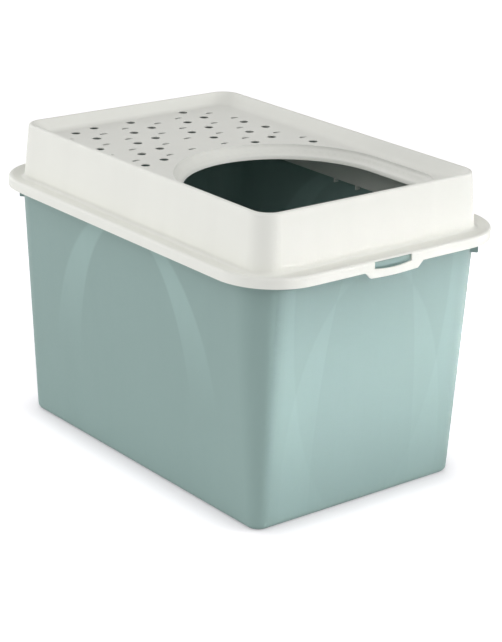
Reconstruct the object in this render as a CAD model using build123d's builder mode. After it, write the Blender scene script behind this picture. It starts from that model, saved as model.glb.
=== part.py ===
from build123d import *
import os
from math import atan2, cos, hypot, pi, sin, tan

os.makedirs("parts", exist_ok=True)

# A top entry litter box: an open tub, and a raised lid that lies on the tub's rim.
# The cat climbs in through the D-shaped entry at the front of the lid, and its paws are wiped on
# the pierced deck behind it. A clip loop at each end of the lid's skirt snaps over the tub's catch.
# X is the width, Y the length (the entry is towards -Y), Z is up. The origin is at the middle of
# the floor under the tub. All lengths are in millimetres.

# ---- driving dimensions -------------------------------------------------------------------

# moulding and fits
wall = 2.2                  # wall of both mouldings
floor_thickness = 2.5       # floor of the tub
seat_clearance = 0.3        # between the tub's rim and the lid's gutter above it
catch_clearance = 0.3       # between a catch's nose and the clip that hangs in front of it
rib_clearance = 0.5         # between a locating rib and the tub's mouth

# lid: skirt and gutter
skirt_width = 400
skirt_length = 572
skirt_corner_radius = 76.5
skirt_height = 13
crown_radius = 3.5          # rounding of the skirt's top edge
crown_width = 6             # level strip inside the skirt's outer face
gutter_depth = 5.1          # fall from the crown to the foot of the riser
flange_width_side = 26      # from the skirt's face to the riser, on the long sides
flange_width_end = 31       # the same at the ends

# lid: riser, border and deck
riser_height = 71.8
riser_corner_radius = 28.5
riser_lean_side = 5         # how far the riser leans in, over its height
riser_lean_end = 5.7
riser_top_corner_radius = 26
riser_foot_radius = 4
crest_outer_radius = 3.4
crest_inner_radius = 2.2
crest_width_side = 5.6      # from the riser's wall to the border's inner slope
crest_width_end = 4.2
deck_depth = 15.2           # of the deck below the crest
border_slope_width = 13.2   # plan width of the border's inner slope
deck_corner_radius = 20
deck_edge_radius = 10.9     # rounding between the deck and the border

# lid: entry
entry_side_margin = 5       # level strip between the deck's edge and the funnel
entry_front_margin = 5.2
entry_front_reach = 119.1   # from the front edge to the centre of the round rear edge
entry_front_corner_radius = 39
funnel_width = 9.5          # plan width of the funnel around the entry
funnel_depth = 10.8
lip_width = 4.5             # plan width of the rolled lip inside the funnel
lip_depth = 6

# lid: round and half-round drain holes of the deck, on one slanted lattice
drain_radius = 6
drain_land = 1.1            # straight part of a hole, above its countersunk underside
countersink_flare = 3.2     # growth of the countersink's radius over each mm of its depth
countersink_depth = 1.3
lattice_x = -44.8           # of the hole that the lattice starts from
lattice_rear_margin = 59.4  # from the deck's rear edge to that hole
lattice_column = Vector(91.5, 6.9)
lattice_row = Vector(-26.3, -45.2)
drain_offsets = [Vector(0, 0), Vector(34.4, 8.9)]
half_drain_offsets = [Vector(2.3, 21.1), Vector(54.1, 20.8)]
lattice_reach = 6           # rows and columns that are tried each way
drain_edge_margin = Vector(18, 6.4)     # from a drain's centre to the deck's edge
half_drain_edge_margin = Vector(13, 10)
drain_entry_margin = 22     # from the entry's arc to a drain's centre
gate_clear_radius = 12      # of the plain spot where the lid's moulding gate was

# lid: locating ribs inside the tub's mouth
rib_spacing = 43
rib_thickness = 2
bead_width = 2              # bead under the gutter, on which the lid rests

# clips, one at each end of the skirt
clip_leg_half_width = 38
clip_flare = 7              # how much wider the loop is where it leaves the skirt's lower edge
clip_foot_half_width = 37
clip_drop = 9.3             # of the loop's middle below the skirt
clip_bow = 1.4              # rise of the loop's lower edge towards its ends
clip_corner_radius = 3
slot_half_width = 29
slot_shift = -2.5           # of the slot and of the catch behind it, along the skirt
slot_height = 8.2           # at the slot's ends
slot_top_drop = 2           # of the slot's top below the crown
slot_bow = 2.8              # how much deeper the slot is in the middle

# tub
tub_height = 320.9          # to the top of the rim
tub_base_width = 318.2
tub_base_length = 482.4
tub_base_corner_radius = 17.5
tub_base_edge_radius = 8
mouth_corner_radius = 44
rim_width_side = 5.2        # from the tub's outer wall to the lip, on the long sides
rim_width_end = 15.1
lip_gap = 11.4              # from the lip to the inside of the skirt
rim_lip_height = 11.9       # how far the rim's lip hangs down
lug_height = 13.1           # of the two stacking lugs below the lip
lug_width = 16
catch_side_clearance = 1.5  # between a catch and the slot's ends
catch_height = 5            # at the catch's ends
catch_bow = 1.5             # how much deeper the catch is in the middle
catch_nose_depth = 6.5
catch_top_drop = 1.5        # of the catch's top below the slot's top

# ---- levels and outlines worked out from them ---------------------------------------------

gutter_floor = tub_height + seat_clearance + wall
crown_level = gutter_floor + gutter_depth
skirt_bottom = crown_level - skirt_height
crest_level = gutter_floor + riser_height
deck_level = crest_level - deck_depth
lip_level = deck_level - funnel_depth - lip_depth
hinge_level = crown_level - crown_radius
slot_top = crown_level - slot_top_drop
catch_top = slot_top - catch_top_drop

riser_width = skirt_width - 2 * flange_width_side
riser_length = skirt_length - 2 * flange_width_end
crest_inset_side = riser_lean_side + crest_width_side
crest_inset_end = riser_lean_end + crest_width_end
deck_width = riser_width - 2 * (crest_inset_side + border_slope_width)
deck_length = riser_length - 2 * (crest_inset_end + border_slope_width)
border_slope_angle = atan2(deck_depth, border_slope_width)

entry_border = lip_width + funnel_width
entry_radius = deck_width / 2 - entry_side_margin - entry_border
entry_front_y = entry_front_margin + entry_border - deck_length / 2
entry_centre_y = entry_front_y + entry_front_reach
lattice_origin = Vector(lattice_x, deck_length / 2 - lattice_rear_margin)
gate_spot = lattice_origin + lattice_column + lattice_row * 2

lip_inset = wall + lip_gap
rim_width = skirt_width - 2 * lip_inset
rim_length = skirt_length - 2 * lip_inset
rim_corner_radius = skirt_corner_radius - lip_inset
mouth_width = rim_width - 2 * rim_width_side
mouth_length = rim_length - 2 * rim_width_end

front = Plane(origin=(0, 0, 0), x_dir=(1, 0, 0), z_dir=(0, -1, 0))
rear = Plane(origin=(0, 0, 0), x_dir=(-1, 0, 0), z_dir=(0, 1, 0))
through = 20                # spare length of a cutting solid


# ---- shapes that are used more than once --------------------------------------------------

def slab(level, height, width, length, radius):
    """An upright block with rounded corners."""
    with BuildPart() as block:
        with BuildSketch(Plane.XY.offset(level)):
            RectangleRounded(width, length, radius)
        extrude(amount=height)
    return block.part


def frustum(low, high):
    """A block with rounded corners that changes size; an end is (level, width, length, radius)."""
    with BuildPart() as block:
        for level, width, length, radius in (low, high):
            with BuildSketch(Plane.XY.offset(level)):
                RectangleRounded(width, length, radius)
        loft(ruled=True)
    return block.part


def entry_outline(plane, growth):
    """The D of the entry, grown all round."""
    half_width = entry_radius + growth
    corner = entry_front_corner_radius + growth
    front_y = entry_front_y - growth
    with BuildSketch(plane) as outline:
        with BuildLine():
            Line((-half_width, entry_centre_y), (-half_width, front_y + corner))
            CenterArc((corner - half_width, front_y + corner), corner, 180, 90)
            Line((corner - half_width, front_y), (half_width - corner, front_y))
            CenterArc((half_width - corner, front_y + corner), corner, 270, 90)
            Line((half_width, front_y + corner), (half_width, entry_centre_y))
            CenterArc((0, entry_centre_y), half_width, 0, 180)
        make_face()
    return outline.sketch


def funnel_profile(step):
    """Plan growth and level at a step of the funnel (0 to 1), of its lip (1 to 2) and below it."""
    if step <= 1:
        fall = step * step * (3 - 2 * step)
        return lip_width + funnel_width * (1 - step), deck_level - funnel_depth * fall
    if step <= 2:
        turn = (step - 1) * pi / 2
        drop = lip_depth * (1 - cos(turn))
        return lip_width * (1 - sin(turn)), deck_level - funnel_depth - drop
    return 0, lip_level - lip_depth * (step - 2)


def funnel(offset, steps):
    """The space inside the funnel and the entry, grown by an offset square to its surface."""
    nudge = 0.001
    with BuildPart() as space:
        for step in steps:
            growth, level = funnel_profile(step)
            ahead = funnel_profile(step + nudge)
            behind = funnel_profile(step - nudge)
            slope = atan2(behind[1] - ahead[1], behind[0] - ahead[0])
            plane = Plane.XY.offset(level - offset * cos(slope))
            add(entry_outline(plane, growth + offset * sin(slope)))
        loft()
    return space.part


def recess(offset):
    """The space above the deck, inside the border, grown by an offset square to its surface."""
    spread = 2 * offset * tan(border_slope_angle / 2)
    rise = offset + through
    run = 2 * rise / tan(border_slope_angle)
    low_width = deck_width + spread
    low_length = deck_length + spread
    slope = 2 * border_slope_width
    low = (deck_level - offset, low_width, low_length, deck_corner_radius + offset)
    high = (crest_level - offset, low_width + slope, low_length + slope,
            riser_top_corner_radius - crest_width_side + offset)
    above = (crest_level + through, high[1] + run, high[2] + run, high[3] + run / 2)
    with BuildPart() as space:
        add(frustum(low, high))
        fillet(space.faces().sort_by(Axis.Z)[0].edges(), deck_edge_radius + offset)
        add(frustum(high, above))
    return space.part


def lattice_points(offsets, edge_margin):
    """Points of the deck's lattice that are clear of its border, the entry and the gate spot."""
    points = []
    for row in range(-lattice_reach, lattice_reach + 1):
        for column in range(-lattice_reach, lattice_reach + 1):
            for offset in offsets:
                point = lattice_origin + lattice_column * column + lattice_row * row + offset
                in_width = abs(point.X) <= deck_width / 2 - edge_margin.X
                in_length = abs(point.Y) <= deck_length / 2 - edge_margin.Y
                from_entry = hypot(point.X, point.Y - entry_centre_y) - entry_radius
                from_gate = (point - gate_spot).length
                behind_entry = point.Y > entry_centre_y and from_entry >= drain_entry_margin
                if in_width and in_length and behind_entry and from_gate > gate_clear_radius:
                    points.append((point.X, point.Y))
    return points


def bowed_outline(half_width, top, end_height, bow):
    """An outline across an end of the box, with a level top and a bowed lower edge."""
    low = top - end_height
    left = slot_shift - half_width
    right = slot_shift + half_width
    with BuildSketch() as outline:
        with BuildLine():
            Line((left, top), (right, top))
            Line((right, top), (right, low))
            ThreePointArc((right, low), (slot_shift, low - bow), (left, low))
            Line((left, low), (left, top))
        make_face()
    return outline.sketch


# ---- lid ----------------------------------------------------------------------------------

riser_foot = (gutter_floor, riser_width, riser_length, riser_corner_radius)
riser_top = (crest_level, riser_width - 2 * riser_lean_side, riser_length - 2 * riser_lean_end,
             riser_top_corner_radius)
gutter_edge = (crown_level, skirt_width - 2 * crown_width, skirt_length - 2 * crown_width,
               skirt_corner_radius - crown_width)


def lowered(outline, drop, inset):
    """A frustum's end, moved down and drawn in."""
    level, width, length, radius = outline
    return level - drop, width - 2 * inset, length - 2 * inset, radius - inset


funnel_steps = [0, 0.25, 0.5, 0.75, 1, 1.33, 1.67, 2]
step_below_lip = 2.3
deck_space = recess(0)
entry_space = funnel(0, [*funnel_steps, step_below_lip])
skirt_block = slab(skirt_bottom, skirt_height, skirt_width, skirt_length, skirt_corner_radius)
gutter_space = frustum(riser_foot, gutter_edge)
riser_block = frustum(riser_foot, riser_top)

deck_underside = recess(wall)
entry_underside = funnel(wall, funnel_steps)
skirt_inside = slab(skirt_bottom - through, skirt_height - wall + through,
                    skirt_width - 2 * wall, skirt_length - 2 * wall, skirt_corner_radius - wall)
gutter_underside = frustum(lowered(riser_foot, wall, 0), lowered(gutter_edge, wall, 0))
riser_inside = frustum(lowered(riser_foot, wall, wall), lowered(riser_top, wall, wall))
bead = slab(tub_height, skirt_height, rim_width - 2 * bead_width, rim_length - 2 * bead_width,
            rim_corner_radius - bead_width)
bead_inside = slab(tub_height, skirt_height, rim_width - 4 * bead_width,
                   rim_length - 4 * bead_width, rim_corner_radius - 2 * bead_width)

drain_points = lattice_points(drain_offsets, drain_edge_margin)
half_drain_points = lattice_points(half_drain_offsets, half_drain_edge_margin)
rib_reach = mouth_width / 2 - wall - rib_clearance
riser_inner_half_width = riser_width / 2 - wall
rib_length = rib_reach - riser_inner_half_width
rib_centre = (rib_reach + riser_inner_half_width) / 2
slot = bowed_outline(slot_half_width, slot_top, slot_height, slot_bow)

with BuildPart() as ribs:
    with BuildSketch(Plane.XY.offset(skirt_bottom)):
        with GridLocations(2 * rib_centre, rib_spacing, 2, 2):
            Rectangle(rib_length, rib_thickness)
    extrude(amount=skirt_height)

with BuildSketch() as half_drain:
    Circle(drain_radius)
    Rectangle(2 * drain_radius, drain_radius, align=(Align.CENTER, Align.MAX),
              mode=Mode.SUBTRACT)

with BuildPart() as lid_hollow:
    add(skirt_inside)
    add(gutter_underside, mode=Mode.SUBTRACT)
    add(bead - bead_inside, mode=Mode.SUBTRACT)
    add(ribs.part, mode=Mode.SUBTRACT)
    add(riser_inside)
    add(deck_underside, mode=Mode.SUBTRACT)
    add(entry_underside, mode=Mode.SUBTRACT)

with BuildPart() as lid:
    add(skirt_block)
    fillet(lid.faces().sort_by(Axis.Z)[-1].edges(), crown_radius)
    add(gutter_space, mode=Mode.SUBTRACT)
    add(riser_block)
    foot_edges = lid.edges().filter_by_position(Axis.Z, gutter_floor, gutter_floor)
    fillet(foot_edges, riser_foot_radius)
    fillet(lid.faces().sort_by(Axis.Z)[-1].edges(), crest_outer_radius)
    add(deck_space, mode=Mode.SUBTRACT)
    crest_face = lid.faces().filter_by(Axis.Z).sort_by(Axis.Z)[-1]
    fillet(crest_face.inner_wires()[0].edges(), crest_inner_radius)
    add(entry_space, mode=Mode.SUBTRACT)
    add(lid_hollow.part, mode=Mode.SUBTRACT)
    with BuildSketch(Plane.XY.offset(crest_level)):
        with Locations(*drain_points):
            Circle(drain_radius)
        with Locations(*half_drain_points):
            add(half_drain.sketch)
    extrude(amount=-riser_height / 2, mode=Mode.SUBTRACT)
    with Locations(Location((0, 0, deck_level - drain_land))):
        with Locations(*drain_points, *half_drain_points):
            Cone(drain_radius + countersink_flare * countersink_depth, drain_radius,
                 countersink_depth, align=(Align.CENTER, Align.CENTER, Align.MAX),
                 mode=Mode.SUBTRACT)
    for end in (front, rear):
        with BuildSketch(end.offset(skirt_length / 2 - wall)):
            with Locations((0, hinge_level)):
                Rectangle(2 * clip_leg_half_width, skirt_height + through,
                          align=(Align.CENTER, Align.MAX))
            add(slot)
        extrude(amount=through, mode=Mode.SUBTRACT)

# ---- clips --------------------------------------------------------------------------------


def make_clip(end):
    """A loop that hangs from the skirt: two legs and a bowed bar below the slot."""
    lowest = skirt_bottom - clip_drop
    foot = lowest + clip_bow
    flare_half_width = clip_leg_half_width + clip_flare
    with BuildSketch() as tab:
        with BuildLine():
            Line((-flare_half_width, skirt_bottom), (flare_half_width, skirt_bottom))
            Line((flare_half_width, skirt_bottom), (clip_foot_half_width, foot))
            ThreePointArc((clip_foot_half_width, foot), (0, lowest), (-clip_foot_half_width, foot))
            Line((-clip_foot_half_width, foot), (-flare_half_width, skirt_bottom))
        make_face()
        fillet(tab.vertices().sort_by(Axis.Y)[:2], clip_corner_radius)
    with BuildPart() as clip:
        with BuildSketch(end.offset(skirt_length / 2 - wall)):
            with Locations((0, hinge_level)):
                Rectangle(2 * clip_leg_half_width, hinge_level - skirt_bottom,
                          align=(Align.CENTER, Align.MAX))
            add(tab.sketch)
            add(slot, mode=Mode.SUBTRACT)
        extrude(amount=wall)
    return clip.part


front_clip = make_clip(front)
rear_clip = make_clip(rear)

# ---- tub ----------------------------------------------------------------------------------

base = (0, tub_base_width, tub_base_length, tub_base_corner_radius)
mouth = (tub_height, mouth_width, mouth_length, mouth_corner_radius)
floor_share = floor_thickness / tub_height
inner_base = (floor_thickness,
              tub_base_width + (mouth_width - tub_base_width) * floor_share - 2 * wall,
              tub_base_length + (mouth_length - tub_base_length) * floor_share - 2 * wall,
              tub_base_corner_radius - wall)
lip_bottom = tub_height - rim_lip_height
lug_bottom = lip_bottom - lug_height
catch_reach = skirt_length / 2 - wall - catch_clearance
catch_half_width = slot_half_width - catch_side_clearance
catch_nose = bowed_outline(catch_half_width, catch_top, catch_height, catch_bow)

lip_block = slab(lip_bottom, rim_lip_height, rim_width, rim_length, rim_corner_radius)
lip_inside = slab(lip_bottom, rim_lip_height - wall, rim_width - 2 * wall,
                  rim_length - 2 * wall, rim_corner_radius - wall)

with BuildPart() as lugs:
    with BuildSketch(Plane.XY.offset(lug_bottom)):
        with Locations(Location((rim_width / 2, -rim_length / 2), -45),
                       Location((-rim_width / 2, rim_length / 2), 135)):
            Rectangle(2 * rim_corner_radius, lug_width)
    extrude(amount=lug_height + wall)
    add(slab(lug_bottom, lug_height + wall, rim_width, rim_length, rim_corner_radius),
        mode=Mode.INTERSECT)

with BuildPart() as tub_inside:
    add(frustum(inner_base, lowered(mouth, 0, wall)))
    fillet(tub_inside.faces().sort_by(Axis.Z)[0].edges(), tub_base_edge_radius - wall)

with BuildPart() as tub:
    add(frustum(base, mouth))
    fillet(tub.faces().sort_by(Axis.Z)[0].edges(), tub_base_edge_radius)
    add(lip_block - lip_inside)
    add(lugs.part)
    add(tub_inside.part, mode=Mode.SUBTRACT)
    for end in (front, rear):
        with BuildSketch(end.offset(rim_length / 2 - wall)):
            with Locations((slot_shift, tub_height)):
                Rectangle(2 * catch_half_width, wall, align=(Align.CENTER, Align.MAX))
        extrude(amount=catch_reach - catch_nose_depth / 2 - rim_length / 2 + wall)
        with BuildSketch(end.offset(catch_reach - catch_nose_depth)):
            add(catch_nose)
        extrude(amount=catch_nose_depth)

# ---- the finished pieces ------------------------------------------------------------------

lid.part.label = "lid"
front_clip.label = "front_clip"
rear_clip.label = "rear_clip"
tub.part.label = "tub"

export_step(lid.part, "parts/lid.step")
export_step(front_clip, "parts/front_clip.step")
export_step(rear_clip, "parts/rear_clip.step")
export_step(tub.part, "parts/tub.step")
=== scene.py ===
import math
import bpy
from mathutils import Matrix, Vector

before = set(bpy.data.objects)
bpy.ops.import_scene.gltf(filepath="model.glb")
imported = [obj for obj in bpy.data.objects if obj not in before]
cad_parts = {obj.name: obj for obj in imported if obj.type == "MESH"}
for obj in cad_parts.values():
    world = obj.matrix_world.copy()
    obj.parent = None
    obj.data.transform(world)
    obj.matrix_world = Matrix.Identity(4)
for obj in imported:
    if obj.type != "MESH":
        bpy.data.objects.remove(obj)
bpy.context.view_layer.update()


# ---- tub ----
# The tub is one deep injection moulding in grey green polypropylene, with a satin
# grain. Wide arcs are etched into the grain of its four walls, a shade lighter, and
# they fade out downwards.

class Shading:
    """The nodes of a material or of the world, laid down one after another."""

    def __init__(self, owner):
        owner.use_nodes = True
        self.tree = owner.node_tree

    def feed(self, socket, value):
        """Gives a socket a number, a vector, a colour or another node's output."""
        if isinstance(value, bpy.types.NodeSocket):
            self.tree.links.new(value, socket)
        elif socket.type == "RGBA":
            socket.default_value = (*value, 1)
        else:
            socket.default_value = value

    def node(self, kind, output=None, settings=(), **sockets):
        """Adds a node with its sockets fed by name; gives it, or one of its outputs."""
        made = self.tree.nodes.new(kind)
        for key, value in dict(settings).items():
            setattr(made, key, value)
        for key, value in sockets.items():
            self.feed(made.inputs[key.replace("_", " ")], value)
        return made if output is None else made.outputs[output]

    def join(self, kind, *values, output=0, **settings):
        """Adds a node with its sockets fed in order; gives one of its outputs."""
        made = self.node(kind, settings=settings)
        for socket, value in zip(made.inputs, values):
            self.feed(socket, value)
        return made.outputs[output]

    def math(self, operation, *values):
        return self.join("ShaderNodeMath", *values, operation=operation)


class Plastic(Shading):
    """A moulded plastic, patterned on the object's own coordinates."""

    def __init__(self, name):
        self.material = bpy.data.materials.new(name)
        super().__init__(self.material)
        self.shader = self.tree.nodes["Principled BSDF"]
        self.place = self.node("ShaderNodeTexCoord", "Object")
        split = self.node("ShaderNodeSeparateXYZ", Vector=self.place)
        self.x, self.y, self.z = split.outputs

    def ramp(self, value, start, end, low=0.0, high=1.0):
        """A soft step of value, from low at start to high at end."""
        return self.node("ShaderNodeMapRange", "Result",
                         {"interpolation_type": "SMOOTHSTEP"}, Value=value,
                         From_Min=start, From_Max=end, To_Min=low, To_Max=high)

    def noise(self, scale, detail, stretch=(1, 1, 1)):
        """Clouds from 0 to 1 with a middle of 0.5; scale is in clouds per metre."""
        place = self.node("ShaderNodeMapping", "Vector", Vector=self.place, Scale=stretch)
        return self.node("ShaderNodeTexNoise", "Fac", Vector=place, Scale=scale, Detail=detail)

    def finish(self, colour, roughness, ripple_depth):
        """Faint clouds and draw streaks, satin grain and slight ripples, on a colour."""
        cloud_scale, cloud_range = 9, (0.3, 0.7)
        darkest_cloud = 0.975       # as a share of the colour
        streak_scale, streak_stretch = 1, (40, 40, 4)
        patch_scale, scuff_scale, patch_range = 28, 310, (0.12, 0.42)
        grain_scale, grain_depth = 1100, 0.00002
        ripple_scale = 34

        clouds = self.noise(cloud_scale, 3)
        streaks = self.noise(streak_scale, 2, streak_stretch)
        uneven = self.math("MULTIPLY", self.math("ADD", clouds, streaks), 0.5)
        clouding = self.ramp(uneven, *cloud_range, darkest_cloud, 1.0)
        self.feed(self.shader.inputs["Base Color"],
                  self.node("ShaderNodeVectorMath", "Vector", {"operation": "SCALE"},
                            Vector=colour, Scale=clouding))
        patches = self.math("MULTIPLY", self.noise(patch_scale, 4), self.noise(scuff_scale, 2))
        self.feed(self.shader.inputs["Roughness"],
                  self.ramp(patches, *patch_range, *roughness))
        grain = self.math("MULTIPLY", self.noise(grain_scale, 1), grain_depth)
        ripple = self.math("MULTIPLY", self.noise(ripple_scale, 1), ripple_depth)
        height = self.math("ADD", grain, ripple)
        bump = self.node("ShaderNodeBump", "Normal", Height=height, Distance=1.0, Strength=1.0)
        self.feed(self.shader.inputs["Normal"], bump)

    def cover(self, node):
        node.data.materials.clear()
        node.data.materials.append(self.material)


tub_green = (0.282, 0.400, 0.381)
arc_green = (0.333, 0.472, 0.450)
tub_roughness = (0.34, 0.46)
tub_ripple_depth = 0.00006
# The arcs run along upright ellipses: (level of the middle, half width, half height).
side_inner, side_outer = (0.080, 0.120, 0.245), (0.080, 0.173, 0.254)
end_inner, end_outer = (0.030, 0.081, 0.362), (0.045, 0.127, 0.260)
end_beside = (0.302, 0.1235, 0.322)
side_shift = 0.004          # of the side arcs towards the entry end
end_strength = 0.4          # of the end arcs, next to the side arcs
arc_edge = 0.015            # softness of an arc's edges, as a share of its size
side_face_x = 0.150         # the long walls lie outside this
end_face_y = 0.235          # and the end walls outside this
face_edge = 0.001
side_fade = (0.11, 0.28)    # levels between which the side arcs come in
end_fade = (0.02, 0.28)     # and the end arcs
end_fade_low = 0.35         # strength that the end arcs keep at the bottom
corner_fade = (0.126, 0.142)    # and how far out on an end wall they go

tub_plastic = Plastic("tub_plastic")


def beyond(across, level, half_width, half_height):
    """1 outside an upright ellipse in the middle of a wall, 0 inside it."""
    u = tub_plastic.math("DIVIDE", across, half_width)
    v = tub_plastic.math("DIVIDE", tub_plastic.math("SUBTRACT", tub_plastic.z, level),
                         half_height)
    radius = tub_plastic.math("SQRT", tub_plastic.math(
        "ADD", tub_plastic.math("MULTIPLY", u, u), tub_plastic.math("MULTIPLY", v, v)))
    return tub_plastic.ramp(radius, 1 - arc_edge, 1 + arc_edge)


def band(across, inner, outer):
    """1 between two ellipses, 0 elsewhere."""
    difference = tub_plastic.math("SUBTRACT", beyond(across, *inner), beyond(across, *outer))
    return tub_plastic.math("ABSOLUTE", difference)


half_x = tub_plastic.math("ABSOLUTE", tub_plastic.x)
half_y = tub_plastic.math("ABSOLUTE", tub_plastic.y)
along_side = tub_plastic.math("ADD", tub_plastic.y, side_shift)
on_side = tub_plastic.math("MULTIPLY",
                           tub_plastic.ramp(half_x, side_face_x, side_face_x + face_edge),
                           tub_plastic.ramp(tub_plastic.z, *side_fade))
side_arcs = tub_plastic.math("MULTIPLY", on_side, band(along_side, side_inner, side_outer))
on_end = tub_plastic.ramp(half_y, end_face_y, end_face_y + face_edge)
on_end = tub_plastic.math("MULTIPLY", on_end, tub_plastic.ramp(half_x, *corner_fade, 1.0, 0.0))
on_end = tub_plastic.math("MULTIPLY", on_end,
                          tub_plastic.ramp(tub_plastic.z, *end_fade, end_fade_low, 1.0))
end_arcs = tub_plastic.math("ADD", band(tub_plastic.x, end_inner, end_outer),
                            beyond(tub_plastic.x, *end_beside))
end_arcs = tub_plastic.math("MULTIPLY", end_arcs, end_strength)
end_arcs = tub_plastic.math("MULTIPLY", on_end, end_arcs)
colour_socket = 6           # the mix node's first colour; its factor is socket 0
tub_colour = tub_plastic.node("ShaderNodeMix", settings={"data_type": "RGBA"})
tub_plastic.feed(tub_colour.inputs[0], tub_plastic.math("ADD", side_arcs, end_arcs))
tub_plastic.feed(tub_colour.inputs[colour_socket], tub_green)
tub_plastic.feed(tub_colour.inputs[colour_socket + 1], arc_green)
tub_plastic.finish(tub_colour.outputs[2], tub_roughness, tub_ripple_depth)
tub_plastic.cover(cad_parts["tub"])


# ---- lid ----
# The lid is one injection moulding in warm white polypropylene, with a duller grain
# than the tub's. It lies on the tub's rim, and small ribs under it keep it in place.

lid_white = (0.863, 0.866, 0.815)
lid_roughness = (0.50, 0.62)
lid_ripple_depth = 0.00005
lid_plastic = Plastic("lid_plastic")
lid_plastic.finish(lid_white, lid_roughness, lid_ripple_depth)
lid_plastic.cover(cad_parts["lid"])


# ---- front clip ----
# The front clip is a springy loop moulded with the lid, in the same white plastic. It
# hangs from the skirt by its two legs and snaps over the tub's catch.

lid_plastic.cover(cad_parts["front_clip"])


# ---- rear clip ----
# The rear clip is the same loop at the other end of the lid, in the same plastic. It
# is pulled outward by itself, so that the lid can be freed one end at a time.

lid_plastic.cover(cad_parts["rear_clip"])


# ---- studio ----
# A pale floor runs on into a white room, with a shadow painted into it round the tub's foot.
# A large soft lamp stands on the right, a low one on the left and a narrow one at the entry
# end. Weaker light comes from all round, most of it from behind and from above.

floor_size = 12
floor_roughness = 0.9
# Painted shadow: the floor's colour is darker and its glow weaker where the tub's foot encloses
# it.
shadow_reach = 0.04        # how far out the floor is darker round the tub's foot
darkest_shadow_openness = 0.5         # openness at which the floor is darkest
floor_paleness_with_painted_shadow = (0.68, 0.9)    # at the foot, and on the open floor
glow_strength_with_painted_shadow = (0.3, 0.5)      # likewise; it lifts the floor to the room's white
glow_colour = (1.0, 0.95, 1.0)
bpy.ops.mesh.primitive_plane_add(size=floor_size, location=(0, 0, 0))
floor = bpy.context.object
floor.name = "studio_floor"
floor_paint = bpy.data.materials.new("floor_paint")
paint = Shading(floor_paint)
openness = paint.node("ShaderNodeAmbientOcclusion", "AO", Distance=shadow_reach)


def painted_floor_shadow(near, far):
    """Painted shadow: a value that goes from near, against a wall, to far on the open floor."""
    return paint.node("ShaderNodeMapRange", "Result", Value=openness,
                      From_Min=darkest_shadow_openness, To_Min=near, To_Max=far)


floor_shader = paint.tree.nodes["Principled BSDF"]
paint.feed(floor_shader.inputs["Roughness"], floor_roughness)
# The floor's colour and its glow both carry the painted shadow round the tub's foot.
paint.feed(floor_shader.inputs["Base Color"], painted_floor_shadow(*floor_paleness_with_painted_shadow))
glow = paint.node("ShaderNodeEmission", "Emission", Color=glow_colour,
                  Strength=painted_floor_shadow(*glow_strength_with_painted_shadow))
glowing = paint.join("ShaderNodeAddShader", floor_shader.outputs[0], glow)
to_camera = paint.node("ShaderNodeLightPath", "Is Camera Ray")
floor_look = paint.join("ShaderNodeMixShader", to_camera, floor_shader.outputs[0], glowing)
paint.feed(paint.tree.nodes["Material Output"].inputs["Surface"], floor_look)
floor.data.materials.append(floor_paint)

camera_azimuth = math.radians(-39.05)
camera_elevation = math.radians(19.98)
camera_roll = math.radians(1.67)
camera_place = Vector((-1.50520, -1.88018, 1.03825))
lens_in_pixels, frame_height = 1990.39, 642
sensor_width = 36
back = Vector((math.sin(camera_azimuth) * math.cos(camera_elevation),
               -math.cos(camera_azimuth) * math.cos(camera_elevation),
               math.sin(camera_elevation)))
level_right = Vector((0, 0, 1)).cross(back).normalized()
level_up = back.cross(level_right)
right = math.cos(camera_roll) * level_right + math.sin(camera_roll) * level_up
up = math.cos(camera_roll) * level_up - math.sin(camera_roll) * level_right
camera_data = bpy.data.cameras.new("camera")
camera_data.sensor_width = sensor_width
camera_data.lens = lens_in_pixels * sensor_width / frame_height
camera = bpy.data.objects.new("camera", camera_data)
camera.matrix_world = (Matrix.Translation(camera_place)
                       @ Matrix((right, up, back)).transposed().to_4x4())
bpy.context.scene.collection.objects.link(camera)
bpy.context.scene.camera = camera


def softbox(name, place, target, size, power, spread=180):
    """A rectangular lamp that faces a point; size is (width, height), spread in degrees."""
    data = bpy.data.lights.new(name, "AREA")
    data.shape = "RECTANGLE"
    data.size, data.size_y = size
    data.energy = power
    data.spread = math.radians(spread)
    lamp = bpy.data.objects.new(name, data)
    lamp.location = place
    aim = Vector(target) - Vector(place)
    lamp.rotation_euler = aim.to_track_quat("-Z", "Y").to_euler()
    bpy.context.scene.collection.objects.link(lamp)


softbox("key_softbox", place=(2.3, -2.2, 0.9), target=(0, 0, 0.25), size=(1.8, 1.4), power=40)
softbox("left_softbox", place=(-2.8, 1.0, 0.3), target=(0, 0, 0.2), size=(1.2, 0.5), power=17.2)
softbox("grid_softbox", place=(2.4, -1.6, 0.2), target=(0, -0.25, 0.175), size=(0.8, 0.15),
        power=0.6, spread=8)

# The light from all round is a sum of soft lobes: (direction it comes from, strength).
room_lights = [((0.533, 0.820, 0.208), 0.42),
               ((-0.203, 0.957, 0.208), 2.52),
               ((-0.533, -0.359, 0.766), 1.70),
               ((0.203, -0.957, 0.208), 0.735),
               ((0.360, -0.533, 0.766), 0.542)]
lobe_tightness = 6
white = (1, 1, 1)
world = bpy.data.worlds.new("studio")
bpy.context.scene.world = world
room = Shading(world)
toward = room.node("ShaderNodeTexCoord", "Generated")
brightness = 0.0
for direction, strength in room_lights:
    facing = room.join("ShaderNodeVectorMath", toward, direction, output="Value",
                       operation="DOT_PRODUCT")
    lobe = room.math("POWER", room.math("MAXIMUM", facing, 0), lobe_tightness)
    brightness = room.math("ADD", room.math("MULTIPLY", lobe, strength), brightness)
room_light = room.tree.nodes["Background"]
room.feed(room_light.inputs["Color"], brightness)
backdrop = room.join("ShaderNodeMixShader", room.node("ShaderNodeLightPath", "Is Camera Ray"),
                     room_light.outputs[0],
                     room.node("ShaderNodeBackground", "Background", Color=white))
room.feed(room.tree.nodes["World Output"].inputs["Surface"], backdrop)

bpy.context.scene.view_settings.view_transform = "Standard"
